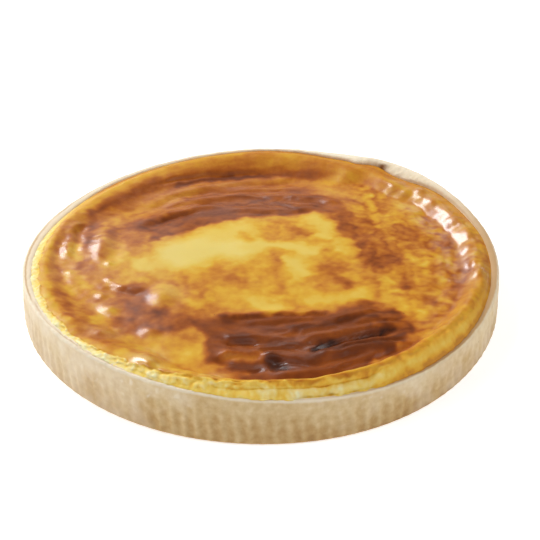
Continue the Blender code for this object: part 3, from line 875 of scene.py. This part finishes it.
STROKES_MM = (
    # the border, from the back round the left to the front
    (0.48, 7, 8, arc(120, 50, 150)),
    (0.36, 4, 7, arc(120, 64, 84)),
    (0.70, 4, 6, arc(110, 62, 150)),
    (0.30, 3.5, 5, arc(122, 96, 160)),
    (0.52, 4, 8, arc(116, 62, 118)),
    (0.64, 4, 6, arc(108, 96, 168)),
    (0.50, 3, 5, arc(117, 160, 205)),
    (0.30, 4, 5, arc(124, 150, 330)),
    (0.55, 6, 9, arc(112, -45, 30)),
    # the chestnut band behind the heart
    (0.60, 17, 8, ((-80, 44), (-50, 76), (0, 88), (26, 86))),
    (0.44, 4, 6, ((-90, 40), (-81, 53), (-66, 66), (-50, 78), (-42, 84))),
    (0.54, 5, 7, ((-48, 84), (-34, 89), (0, 94), (28, 94))),
    (0.75, 12, 4.5, ((-80, 22), (-66, 27), (-50, 39), (-36, 49), (-18, 56), (4, 60), (24, 63), (42, 64))),
    (0.50, 3, 5, ((-88, 35), (-80, 44), (-68, 57))),
    (0.70, 10, 9, ((-30, 72), (0, 76), (22, 76))),
    (0.79, 6, 9, ((-70, 34), (-58, 42), (-44, 51))),
    (0.82, 2.5, 7, ((-56, 45), (-46, 50))),
    (0.81, 3, 7, ((-34, 54), (-22, 55))),
    (0.84, 2, 4, ((-22, 66), (-10, 66), (-4, 70), (2, 73))),
    (0.84, 2.2, 4, ((8, 68), (15, 62), (22, 58))),
    (0.82, 3, 5, ((34, 62), (46, 62))),
    (0.70, 2.5, 4, ((-48, 73), (-22, 74), (-8, 79), (12, 80), (26, 74))),
    (0.66, 2.5, 4, ((-38, 86), (-14, 87), (0, 90), (8, 94))),
    (0.72, 2.5, 5, ((-104, 44), (-93, 60), (-80, 74), (-66, 84), (-50, 92))),
    # painted shade: the dark line in the crease behind the border's foot
    (0.86, 2.5, 4, ((-54, 91), (-38, 97), (-20, 101.5), (4, 103.5))),
    (0.74, 2.5, 5, ((4, 104), (22, 104), (38, 100), (54, 94))),
    # the golden back right
    (0.38, 15, 12, ((50, 88), (64, 72), (84, 60))),
    (0.60, 3, 6, ((56, 66), (63, 60))),
    (0.52, 4, 6, ((72, 60), (76, 50))),
    # down the right of the heart
    (0.52, 8, 8, ((56, 86), (68, 83), (76, 73))),
    (0.66, 6, 7, ((44, 58), (51, 48), (53, 34), (56, 16))),
    (0.72, 5, 6, ((45, 42), (52, 24), (57, 8))),
    (0.66, 12, 9, ((66, 16), (68, 2), (66, -10))),
    (0.76, 5, 6, ((58, 2), (66, -6), (78, -6))),
    (0.60, 5, 7, ((64, 44), (66, 28))),
    # the right-hand field
    (0.60, 8, 8, ((84, 30), (92, 12), (106, 14))),
    (0.44, 12, 12, ((84, -20), (96, -12), (92, -44))),
    (0.32, 5, 7, ((74, 46), (86, 48))),
    (0.30, 4, 5, ((84, -4), (94, -8), (104, -6))),
    (0.58, 2.5, 4, ((98, -6), (98, -18))),
    (0.62, 6, 7, ((108, -16), (109, -30), (106, -40))),
    (0.56, 6, 8, ((60, -18), (66, -24))),
    (0.34, 4, 6, ((70, -24), (74, -30), (68, -38))),
    (0.58, 4, 5, ((78, -22), (80, -32))),
    (0.34, 5, 6, ((68, -46), (80, -52), (92, -58))),
    (0.58, 3.5, 5, ((90, -44), (94, -50))),
    # the yellow heart
    (0.28, 17, 7, ((-48, -3), (-30, 15), (-9, 27), (12, 23), (26, 30))),
    (0.30, 22, 9, ((-56, -20), (-10, -30), (32, -24), (30, 10))),
    (0.20, 7, 8, ((-30, 29), (-8, 37))),
    (0.02, 15, 13, ((-46, -2), (-28, 12), (-14, 8))),
    (0.10, 9, 10, ((-24, 24), (-12, 28))),
    (0.08, 6, 8, ((-6, 10), (20, 10), (28, 4))),
    (0.12, 5, 7, ((35, 22), (39, 37), (31, 45))),
    (0.10, 6, 8, ((18, -6), (26, -24), (30, -30))),
    (0.12, 5, 7, ((-74, -8), (-62, -14))),
    (0.20, 5, 6, ((45, 14), (50, 6))),
    # the brown spots in the heart
    (0.44, 5, 8, ((6, 30), (10, 20), (20, 22))),
    (0.40, 5, 7, ((8, 44), (14, 38), (10, 32))),
    (0.58, 4, 5, ((20, 31), (27, 25))),
    (0.36, 3, 5, ((-56, 16),)),
    (0.34, 3, 6, ((-10, 24), (-8, 18))),
    (0.50, 4, 6, ((7, 2), (8, -8), (6, -18))),
    (0.44, 4, 7, ((-22, -16), (-10, -15))),
    (0.50, 6, 8, ((-26, -24), (-12, -28))),
    (0.46, 6, 7, ((-42, -27), (-38, -34), (-44, -44))),
    (0.52, 4, 5, ((-34, -38),)),
    (0.42, 5, 6, ((2, -26), (12, -34))),
    (0.40, 4, 6, ((38, 4), (38, -6))),
    (0.58, 5, 6, ((34, -14), (44, -12))),
    (0.62, 6, 6, ((39, -24), (46, -29))),
    (0.74, 2.5, 4, ((44, -24), (46, -28))),
    (0.50, 4, 6, ((54, -14), (60, -18))),
    (0.40, 4, 6, ((18, -50), (34, -52))),
    (0.46, 8, 8, ((-54, -34), (-34, -38))),
    (0.28, 4, 6, ((-54, -36), (-47, -40))),
    (0.16, 4, 6, ((-38, -50), (-34, -58))),
    (0.14, 5, 7, ((-4, -46), (8, -54))),
    (0.44, 6, 8, ((30, -28), (38, -36))),
    (0.16, 5, 7, ((26, -46), (44, -44), (55, -38))),
    (0.44, 5, 7, ((-72, 12), (-66, 4))),
    # the blistered left
    (0.50, 12, 12, ((-98, 20), (-90, -10), (-92, -40), (-88, -62))),
    (0.56, 5, 7, ((-84, 24), (-70, 20))),
    (0.58, 6, 7, ((-84, 20), (-72, 14))),
    (0.72, 4, 5, ((-101, 32), (-101, 18), (-100, 6))),
    (0.64, 4, 5, ((-99, -10), (-100, -22))),
    (0.60, 4, 5, ((-113, 16), (-114, 2))),
    (0.58, 3.5, 5, ((-111, -22), (-108, -32))),
    (0.58, 3.5, 5, ((-107, -46), (-102, -56))),
    (0.28, 4, 5, ((-107, 4), (-106, -6))),
    (0.34, 4, 5, ((-104, -24), (-103, -40))),
    (0.52, 4, 5, ((-94, -12), (-92, -22))),
    (0.24, 5, 6, ((-80, -2), (-84, -14))),
    (0.34, 5, 6, ((-100, -28), (-94, -38))),
    (0.46, 4, 6, ((-90, 12), (-84, 4))),
    # the brown skin at the left front
    (0.72, 9, 6, ((-68, -42), (-67, -54), (-60, -63), (-46, -66))),
    (0.76, 8, 6, ((-52, -65), (-36, -65), (-18, -68))),
    (0.70, 8, 7, ((-72, -54), (-69, -70), (-58, -73), (-46, -70))),
    (0.56, 5, 6, ((-44, -56), (-24, -60))),
    (0.36, 9, 8, ((-54, -86), (-36, -90))),
    (0.24, 5, 6, ((-38, -96), (-30, -88))),
    (0.32, 5, 6, ((-84, -68), (-80, -60))),
    (0.52, 3, 4, ((-44, -80), (-36, -82))),
    (0.52, 7, 8, ((-88, -84), (-74, -92))),
    (0.60, 4, 6, ((-98, -66), (-92, -76))),
    # the dark folds at the front
    (0.81, 9, 5, ((-18, -69), (10, -69), (40, -66), (66, -62))),
    (0.80, 11, 5, ((-14, -86), (10, -88), (36, -86), (71, -74))),
    (0.82, 9, 5, ((-6, -100), (20, -101), (42, -94), (69, -84))),
    (0.80, 8, 5, ((-4, -109), (20, -109), (46, -101), (64, -93))),
    (0.80, 6, 4, ((-22, -72), (-22, -96))),
    (0.66, 4, 5, ((74, -86), (68, -98), (58, -106))),
    (0.78, 6, 6, ((46, -57), (56, -53), (66, -58))),
    # painted shadow: the thin dark line under the step where the dark skin begins
    (0.86, 1.2, 3, ((-20, -63), (0, -62), (20, -60), (34, -57))),
    (0.58, 3, 4, ((-17, -94), (-6, -95), (0, -93))),
    (0.62, 3, 4, ((-18, -106), (-8, -107))),
    # the darkest strokes from here on lie in the hollow and the grooves of the deep folds: painted shade
    # over the dark skin
    (0.88, 3, 4, ((-15, -81), (-9, -81))),
    (0.90, 2.5, 4, ((4, -86), (16, -84))),
    (0.89, 4, 4, ((-14, -101), (-4, -102))),
    (0.96, 4, 4, ((6, -99), (10, -103))),
    (0.90, 4, 5, ((24, -98), (30, -91))),
    (0.89, 5, 6, ((42, -90), (62, -84))),
    (1.0, 1.3, 3, ((25, -89), (30, -84), (44, -80), (56, -76), (68, -70))),
    (0.93, 1.6, 3, ((34, -88), (46, -85), (60, -80), (72, -76))),
    (0.92, 2, 4, ((16, -70), (32, -68), (46, -64), (60, -61))),
    # the front border
    (0.42, 4, 5, arc(119, 300, 345)),
    (0.52, 0.6, 2, arc(127.5, 248, 305)),
    (0.40, 5, 6, ((84, -76), (74, -92), (60, -104))),
    (0.50, 5, 7, ((90, -64), (98, -52))),
    (0.70, 4, 4, ((76, -82), (71, -91), (63, -100))),
)
print("strokes:", len(STROKES_MM))

# %% [markdown]
# ## From strokes to browning
#
# Strokes alone look painted, because their edges are smooth. So the places are bent by three sizes
# of noise before their distance to a stroke is measured, as real browning follows the drying skin.
# Then the middling browns are broken up: into marbling and mottling at the right, and into streaks
# where the skin slid. The palest and the darkest places stay calm.


# %% Browning, with painted shade
def distance_to(x, y, route):
    """How far each place is from a route of straight stretches."""
    nearest = np.full(x.shape, np.inf)
    for (x0, y0), (x1, y1) in zip(route, route[1:] or route):
        dx, dy = x1 - x0, y1 - y0
        along = np.clip(((x - x0) * dx + (y - y0) * dy) / max(dx * dx + dy * dy, 1e-9), 0.0, 1.0)
        nearest = np.minimum(nearest, np.hypot(x - x0 - along * dx, y - y0 - along * dy))
    return nearest


BARE_LEVEL = 0.42
SOFTENING = 1.3


def browning(x, y):
    """The level of browning, with painted shade in the grooves and hollows of the folds, at a place in
    millimetres.
    """
    bent_x = x + 2.0 * noise(x, y, 15.0, 1) + 1.8 * noise(x, y, 6.0, 2) + 0.6 * noise(x, y, 2.6, 12)
    bent_y = y + 2.0 * noise(x, y, 15.0, 3) + 1.8 * noise(x, y, 6.0, 4) + 0.6 * noise(x, y, 2.6, 14)
    level = BARE_LEVEL + 0.0 * x
    for value, half_width, softness, route in STROKES_MM:
        softness = softness * SOFTENING
        off = distance_to(bent_x, bent_y, route)
        level += (value - level) * (1.0 - ease((off - half_width + softness / 2) / softness))

    radius, turn_mm = np.hypot(x, y), np.arctan2(y, x) * 90.0
    middling = ease((level - 0.08) / 0.2) * ease((1.0 - level) / 0.3)
    right_field = ease((x - 45.0) / 25.0) * ease((118.0 - radius) / 10.0)
    streaked = near(x, y, -15, 74, 110, 46) + near(x, y, 22, -84, 80, 40)
    streaked = streaked + ease((radius - 100.0) / 12.0) * ease((y - 20.0) / 40.0)
    streaked = np.clip(streaked - right_field, 0.0, 1.0)
    marbling = 0.3 - np.abs(noise(bent_x, bent_y, 8.0, 5)) - 0.3 * np.abs(noise(x, y, 4.0, 15))
    mottling = noise(bent_x, bent_y, 7.0, 6) + 0.6 * noise(x, y, 3.4, 7)
    streaks = noise(turn_mm, radius * 4.0, 24.0, 8) + 0.5 * noise(turn_mm, radius * 4.0, 11.0, 9)
    calm = 1.0 - 0.75 * streaked
    level += middling * calm * (0.12 * mottling + (0.08 + 0.22 * right_field) * marbling)
    return level + middling * streaked * 0.09 * streaks


# %% [markdown]
# ## Where the skin shines
#
# Gloss isn't even either. The skin is glossy on its blisters, along the right border and, less so, over
# the folds behind the middle and in front, while the golden middle is nearly matt. If everything
# shone alike, the rear card would lie over the whole tart like a haze.


# %% Gloss
def glossiness(x, y):
    """How glossy the skin is, from 0 to 1, at a place in millimetres."""
    radius = np.hypot(x, y)
    shine = 0.05 + 0.4 * near(x, y, -14, 72, 92, 40)
    left_field = 0.35 * ease((-x - 38.0) / 18.0) * ease((60.0 - y) / 30.0)
    shine = np.maximum(shine, left_field)
    shine = np.maximum(shine, 0.3 * near(x, y, 24, -86, 66, 28))
    black_groove = near(x, y, 48, -80, 26, 9)
    shine = shine * (1.0 - 0.8 * black_groove)
    shine = np.maximum(shine, ease((x - 74.0) / 22.0) * ease((radius - 96.0) / 10.0))
    outer_border = ease((radius - 117.0) / 4.0) * ease((20.0 - x) / 30.0)
    front_border = ease((radius - 94.0) / 8.0) * ease((-y - 25.0) / 15.0)
    shine = shine * (1.0 - 0.85 * outer_border)
    shine = shine * (1.0 - 0.65 * front_border)
    for centre_x, centre_y, reach_x, reach_y, _ in BLISTERS_MM:
        peak = 0.9 if centre_x > 0 or centre_y < -90 else 0.5
        blister = near(x, y, centre_x, centre_y, 1.8 * reach_x, 1.5 * reach_y)
        shine = np.maximum(shine, peak * blister)
    dull = ease((noise(x, y, 9.0, 66) + 0.5 * noise(x, y, 4.0, 67)) / 0.5)
    shine = shine * (1.0 - 0.7 * dull * ease((x - 70.0) / 20.0))
    return np.clip(shine + 0.1 * noise(x, y, 12.0, 60), 0.0, 1.0)


# %% [markdown]
# ## The custard's mesh
#
# A disc of quads is best made from a square grid whose squares are pushed out into rings: there is no
# crowded point in the middle, as a turned disc has. That grid covers the skin inside the crest, and
# its rows lie closer together towards the border, where the relief is finest.

# %% Skin grid
SKIN_CELLS = 256
EDGE_CROWDING = 1.12
CUSTARD_BOTTOM = FLOOR_THICKNESS + GAP

side = np.linspace(-1.0, 1.0, SKIN_CELLS + 1)
u, v = np.meshgrid(side, side)
ring = np.maximum(np.abs(u), np.abs(v))
with np.errstate(divide="ignore", invalid="ignore"):
    lean = np.where(np.abs(u) >= np.abs(v), v / u, u / v) * np.pi / 4
lean = np.nan_to_num(lean)
skin_angle = np.where(np.abs(u) >= np.abs(v), lean, np.pi / 2 - lean)
skin_angle = np.where(np.where(np.abs(u) >= np.abs(v), u, v) < 0, skin_angle + np.pi, skin_angle)
reach = custard_edge(skin_angle)[0] - border_crest(skin_angle)[1]
skin_radius = (1.0 - (1.0 - ring) ** EDGE_CROWDING) * reach
skin_x, skin_y = skin_radius * np.cos(skin_angle), skin_radius * np.sin(skin_angle)
skin_z = plain_height(skin_x, skin_y) + relief(skin_x / MM, skin_y / MM) * MM

number = np.arange((SKIN_CELLS + 1) ** 2).reshape(SKIN_CELLS + 1, SKIN_CELLS + 1)
skin_faces = np.stack([number[:-1, :-1], number[:-1, 1:], number[1:, 1:], number[1:, :-1]], -1)
border = np.concatenate([number[0, :-1], number[:-1, -1], number[-1, :0:-1], number[:0:-1, 0]])
print("skin:", skin_x.size, "points, border of", border.size)

# %% [markdown]
# ## The band from the crest to the lip
#
# Outside the crest comes a band that drops to the lip. It is a grid of its own, because a height can't
# describe what happens at the front: the border tore open as it rose, and under the edge of the skin
# there is a crumbly face, a split and a pale ledge that juts out. `way` runs down the band from 0 at
# the crest to 1 at the lip. Two tables give the shares of the way in and up, and they are only used
# along the ledge. Elsewhere the band is a plain quarter round, or a gentle S at the back.

# %% Course of the band
BAND_ROWS = 29
CLIMB = 1.3 * MM  # how far the custard climbs the slumped wall at the right back

# Over the skin's rim, down the crumbly face, into the split, and out over the ledge.
TORN_WAY = (0.0, 0.12, 0.22, 0.32, 0.44, 0.52, 0.58, 0.66, 0.80, 0.92, 1.0)
TORN_IN = (1.0, 0.80, 0.70, 0.64, 0.56, 0.56, 0.60, 0.40, 0.06, -0.1, 0.0)
TORN_UP = (1.0, 0.98, 0.88, 0.76, 0.64, 0.55, 0.48, 0.47, 0.38, 0.20, 0.0)

way = np.linspace(0.0, 1.0, BAND_ROWS + 1)[1:, None]
band_angle = skin_angle.ravel()[border][None, :]
edge, edge_height = custard_edge(band_angle)
edge_height = edge_height + CLIMB * swell(band_angle, 50, 16)
crest, crest_inset = border_crest(band_angle)
degrees = np.degrees(band_angle) % 360.0
arc_mm = np.radians(degrees) * RIM_RADIUS / MM
flat = 0 * arc_mm

# The ledge runs along the front only, and the split above it rises towards the right.
ledge = ease((degrees - 254.0) / 16.0) * ease((304.0 - degrees) / 14.0)
ledge = np.clip(ledge * (1.0 + 0.6 * noise(arc_mm, flat, 14.0, 51)), 0.0, 1.0)
rise = 1.1 * ease((degrees - 264.0) / 22.0) - 0.4 * ease((degrees - 288.0) / 8.0) - 0.3
wander = 0.45 * noise(arc_mm, 6.0 * way, 15.0, 56) + 0.25 * noise(arc_mm, 6.0 * way, 5.0, 57)
bent_way = way + (rise + wander) * way * (1.0 - way) * 2.0

soft = around(band_angle, SOFT_RISE)
round_in = (1.0 - soft) * (1.0 - np.sin(way * np.pi / 2)) + soft * (1.0 - way)
round_up = (1.0 - soft) * np.cos(way * np.pi / 2) + soft * ease(1.0 - way)
share_in = round_in + (np.interp(bent_way, TORN_WAY, TORN_IN) - round_in) * ledge
share_up = round_up + (np.interp(bent_way, TORN_WAY, TORN_UP) - round_up) * ledge
band_radius = edge - share_in * crest_inset
band_z = edge_height + share_up * (crest - edge_height)
print("band:", band_z.shape, "points, the ledge at", round(float(ledge.mean() * 360.0)), "degrees")

# %% [markdown]
# ## Crumbs and the custard's foot
#
# Torn custard is crumbly, so the torn part of the band gets lumps and grains that push it out square
# to its own slope. At the bottom the custard spilled over the lip while it was liquid and flared out
# in a thin edge, which hides the gap between the two pieces.

# %% Torn face and foot
# Round the tart: how much is torn, how far down the skin still reaches, and how crumbly it is.
TORN = (0.0, 0.0, 0.0, 0.0, 1.0, 1.0, 1.0, 0.9)
SKIN_REACH = (0.6, 0.8, 0.8, 0.6, 0.3, 0.35, 0.0, 0.15)
CRUMBLY = (0.0, 0.0, 0.0, 0.0, 0.9, 1.0, 0.8, 0.15)
SPILL_MM = (0.2, 0.0, 0.0, 0.0, 0.5, 1.0, 1.0, 0.4)
FLARE_MM = (0.6, 0.0, 0.0, 0.0, 0.6, 1.0, 1.2, 1.2)

skin_reach = around(band_angle, SKIN_REACH)
ragged = 0.16 * noise(arc_mm, flat, 9.0, 54) + 0.10 * noise(arc_mm, flat, 3.0, 55)
torn = around(band_angle, TORN) * ease((way - skin_reach - ragged) / 0.14)
down_mm = way * 10.0
lumps = noise(arc_mm * 0.7, down_mm, 5.0, 52) + 0.5 * noise(arc_mm, down_mm, 2.6, 53)
grains = noise(arc_mm, down_mm, 1.9, 59)
crumbly = around(band_angle, CRUMBLY)
crumbs = (0.4 + 0.9 * crumbly) * lumps + 0.5 * crumbly * grains
crumbs = crumbs * torn * ease((1.0 - way) / 0.12) * MM

spill = around(band_angle, SPILL_MM) * (1.0 + 0.3 * noise(arc_mm, flat, 7.0, 75)) * MM
flare = around(band_angle, FLARE_MM) * (1.0 + 0.4 * noise(arc_mm, flat, 4.0, 76)) * MM
spill = spill * ease((way - 0.45) / 0.4) + flare * ease((way - 0.78) / 0.14)
band_x, band_y = band_radius * np.cos(band_angle), band_radius * np.sin(band_angle)
lift = relief(band_x / MM, band_y / MM) * MM * (1.0 - ease(way / 0.8))
out = crumbs * np.sin(way * np.pi / 2) * ease((1.0 - way) / 0.3)
band_radius = band_radius + out + spill
band_z = band_z + lift + crumbs * np.cos(way * np.pi / 2)
print("spill:", round(float(spill.max() / MM), 1), "mm over the lip at most")

# %% [markdown]
# ## How pale the torn face is
#
# Fresh custard is pale, and it yellows where it stood out in the oven's heat. So the ledge is pale. The
# split above it is painted dark and the hollows between the lumps darker than the lumps, as painted
# shade. Towards the lip, mostly at the right, it is painted darker and more golden, as shade where the
# custard meets the lip.

# %% Paleness
PALE = (0.25, 0.2, 0.2, 0.5, 0.7, 0.78, 0.42, 0.3)
FOOT_SHADE = (0.4, 0.0, 0.0, 0.0, 0.0, 0.0, 0.2, 0.5)

paleness = around(band_angle, PALE) + 0.2 * ledge * ease((bent_way - 0.45) / 0.2)
paleness = paleness + 0.3 * (ease((way - skin_reach) / 0.5) - 0.5)
# Lumps and grains are painted paler than the hollows between them: painted shade and light that follow
# the crumbs.
paleness = paleness + (0.1 + 0.15 * crumbly) * lumps + 0.25 * crumbly * grains
# The split above the ledge is painted darker, as shade.
paleness = paleness - 0.3 * ledge * np.exp(-(((bent_way - 0.56) / 0.05) ** 2))
# Towards the lip, mostly at the right, it is painted darker and more golden, as shade where the custard
# meets the lip.
paleness = paleness - around(band_angle, FOOT_SHADE) * ease((way - 0.5) / 0.45)
print("paleness: from", paleness.min().round(2), "to", paleness.max().round(2))

# %% [markdown]
# ## The custard as one mesh
#
# The band goes on down inside the case with two more rows, hidden behind the wall, and one large face
# closes the bottom. The skin and the band share no points, so a strip of quads joins them.

# %% Custard mesh
side_rows = [
    (inner_radius(band_angle, height) - GAP, height)
    for height in (edge_height * 0.75, edge_height * 0 + CUSTARD_BOTTOM)
]
all_radius = np.concatenate([band_radius] + [row[0] for row in side_rows])
all_z = np.concatenate([band_z] + [row[1] for row in side_rows])
band_points = [all_radius * np.cos(band_angle), all_radius * np.sin(band_angle), all_z]
band_points = np.stack(band_points, -1).reshape(-1, 3)
skin_points = np.stack([skin_x, skin_y, skin_z], -1).reshape(-1, 3)
points = np.concatenate([skin_points, band_points])

first = len(skin_points)
columns = border.size
onward = np.roll(np.arange(columns), -1)
join = np.stack([border, first + np.arange(columns), first + onward, border[onward]], 1)
band_faces = strip_faces(len(all_radius), columns, first)[:, ::-1]
bottom = np.arange(len(points) - columns, len(points))[::-1]
faces = np.concatenate([skin_faces.reshape(-1, 4), join, band_faces]).tolist() + [bottom.tolist()]

custard_mesh = bpy.data.meshes.new("baked_custard")
custard_mesh.from_pydata(points.tolist(), [], faces)
custard_mesh.shade_smooth()
baked_custard = bpy.data.objects.new("baked_custard", custard_mesh)
bpy.context.scene.collection.objects.link(baked_custard)
print("custard:", len(points), "points")

# %% Values on the custard
x_mm, y_mm = points[:, 0] / MM, points[:, 1] / MM
hidden = np.zeros(len(side_rows) * columns)
pale_band = np.broadcast_to(paleness, torn.shape).ravel()

set_values(custard_mesh, "browning", browning(x_mm, y_mm))
set_values(custard_mesh, "gloss", glossiness(x_mm, y_mm))
set_values(custard_mesh, "skin", np.concatenate([np.ones(first), 1.0 - torn.ravel(), hidden]))
set_values(custard_mesh, "paleness", np.concatenate([np.full(first, 0.3), pale_band, hidden]))
print("torn:", round(float(torn.mean()) * 100), "% of the band")

# %% [markdown]
# ## Baked custard
#
# One ramp of colours turns the level of browning, with the shade painted into the folds, into the skin's
# colour, from pale yellow through gold and chestnut to nearly black. Where the skin is torn away, the
# custard inside is pale, matt and crumbly, and a second ramp colours it by its paleness, which carries
# painted shade in the split and between the crumbs. Light goes a little way into custard, so the
# shader scatters it under the surface. The skin has a clear coat, as if it had been glazed: a coat
# keeps the browning under it deep, where a low roughness alone would veil it.

# %% Custard material
custard, tree, shader = new_material("baked_custard")
cloud = use_group(tree, clouds, Coarse_Size_mm=5.0, Fine_Size_mm=1.6, Fine_Share=0.45)
level = reading(tree, "browning")
skin = reading(tree, "skin")
middling = maths(tree, "MULTIPLY", stretch(tree, level, 0.05, 0.3), stretch(tree, level, 0.95, 0.6))
level = shift(tree, level, cloud, maths(tree, "MULTIPLY", middling, 0.2))
SKIN_COLOURS = (
    (0.0, srgb(220, 195, 108)),
    (0.12, srgb(216, 180, 75)),
    (0.22, srgb(212, 163, 49)),
    (0.34, srgb(206, 148, 40)),
    (0.45, srgb(195, 127, 36)),
    (0.55, srgb(180, 106, 28)),
    (0.65, srgb(162, 85, 21)),
    (0.75, srgb(140, 69, 15)),
    (0.84, srgb(117, 54, 12)),
    (0.93, srgb(89, 39, 8)),
    (1.0, srgb(39, 12, 4)),
)
colour = ramp(tree, level, SKIN_COLOURS)
crumb_level = shift(tree, reading(tree, "paleness"), cloud, 0.5)
CRUMB_COLOURS = (
    (0.0, srgb(204, 138, 52)),
    (0.15, srgb(224, 162, 54)),
    (0.3, srgb(232, 182, 68)),
    (0.55, srgb(238, 203, 98)),
    (0.8, srgb(240, 216, 142)),
    (1.0, srgb(240, 228, 176)),
)
crumb_colour = ramp(tree, crumb_level, CRUMB_COLOURS)
colour = blend(tree, skin, crumb_colour, colour)
speck = use_group(tree, specks, Spacing_mm=11.0, Radius_mm=0.35, Rarity=0.72)
colour = blend(tree, maths(tree, "MULTIPLY", speck, 0.7), colour, srgb(96, 58, 24))
feed(tree, shader, "Base Color", colour)
feed(tree, shader, "Roughness", maths(tree, "MULTIPLY_ADD", skin, -0.2, 0.7))
feed(tree, shader, "Specular IOR Level", 0.12)
feed(tree, shader, "Subsurface Weight", 0.15)
feed(tree, shader, "Subsurface Radius", (1.0, 0.55, 0.2))
feed(tree, shader, "Subsurface Scale", 0.0025)
feed(tree, shader, "Coat Weight", maths(tree, "MULTIPLY", skin, reading(tree, "gloss")))
feed(tree, shader, "Coat Roughness", 0.27)
feed(tree, shader, "Coat IOR", 1.7)

wrinkle = place(tree, "ShaderNodeTexNoise", Scale=420.0, Detail=3.0)
feed(tree, wrinkle, "Vector", place(tree, "ShaderNodeTexCoord").outputs["Object"])
bump = place(tree, "ShaderNodeBump", Height=wrinkle.outputs["Fac"], Strength=0.25, Distance=0.0004)
feed(tree, shader, "Normal", bump.outputs["Normal"])

custard_mesh.materials.append(custard)
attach(baked_custard, "root")
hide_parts("custard")
print("custard:", len(tree.nodes), "nodes")
